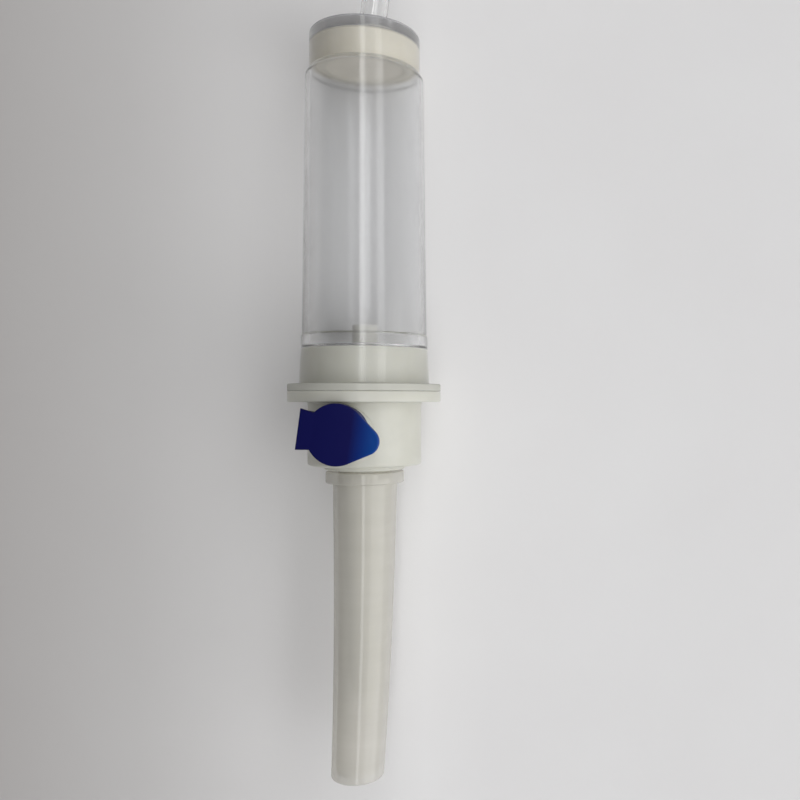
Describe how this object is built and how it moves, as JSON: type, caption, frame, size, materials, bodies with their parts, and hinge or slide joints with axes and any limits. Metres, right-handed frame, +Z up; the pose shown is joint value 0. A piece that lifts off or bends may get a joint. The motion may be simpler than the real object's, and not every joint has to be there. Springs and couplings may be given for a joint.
{
  "type": "iv infusion set",
  "caption": "Gravity infusion set: vented spike with sheath and blue vent cap, clear drip chamber, tubing, roller clamp and luer lock end, its tubing banded in a hank.",
  "frame": {"origin": "centre of the footprint of the spike, chamber and vent cap, on the surface the set lies on", "axes": "+Y along the chamber from the spike towards the outlet, +Z up, +X to the right as seen from above"},
  "size_m": [0.034, 0.268, 0.026],
  "materials": {
    "cream_plastic": "satin moulded",
    "blue_plastic": "satin moulded",
    "milky_plastic": "translucent",
    "clear_plastic": "clear",
    "tubing_plastic": "clear, soft",
    "white_fibre": "fibrous",
    "clamp_plastic": "satin moulded",
    "paper": "matt paper"
  },
  "bodies": {
    "set": {"spike_body": "cream_plastic", "drip_tube": "clear_plastic", "vent_filter": "white_fibre", "vent_cap_ring": "blue_plastic", "drip_chamber": "clear_plastic", "outlet_cap": "clear_plastic", "filter_cup": "cream_plastic", "filter_mesh": "white_fibre", "tube_lead": "tubing_plastic", "tube_pinch": "tubing_plastic", "tube_run": "tubing_plastic", "tube_hank": "tubing_plastic", "tube_tail": "tubing_plastic", "hank_tie": "paper", "clamp_body": "clamp_plastic", "luer_connector": "clear_plastic"},
    "vent_lid": {"vent_cap_lid": "blue_plastic"},
    "cover": {"spike_cover": "milky_plastic"},
    "roller": {"clamp_roller": "clamp_plastic"},
    "lock_collar": {"luer_collar": "clamp_plastic"},
    "end_cap": {"luer_cap": "blue_plastic"}
  },
  "joints": [
    {"name": "vent_lid_hinge", "type": "hinge", "parent": "set", "child": "vent_lid", "pos_m": [-0.00839, -0.00271, 0.02127], "axis": [-0.1338, -0.9909, 0.0177], "range_deg": [0, 140]},
    {"name": "cover_pull", "type": "slide", "parent": "set", "child": "cover", "axis": [0, -0.9984, 0.0565], "range_m": [0, 0.06]},
    {"name": "roller_travel", "type": "slide", "parent": "set", "child": "roller", "axis": [0, 0.9858, -0.1681], "range_m": [0, 0.01825], "deforming": ["tube_pinch"]},
    {"name": "lock_collar_turn", "type": "hinge", "parent": "set", "child": "lock_collar", "pos_m": [-0.01, 0.103, 0.0049], "axis": [0, -1, 0], "continuous": true},
    {"name": "end_cap_pull", "type": "slide", "parent": "set", "child": "end_cap", "axis": [0, -1, 0], "range_m": [0, 0.015]}
  ]
}
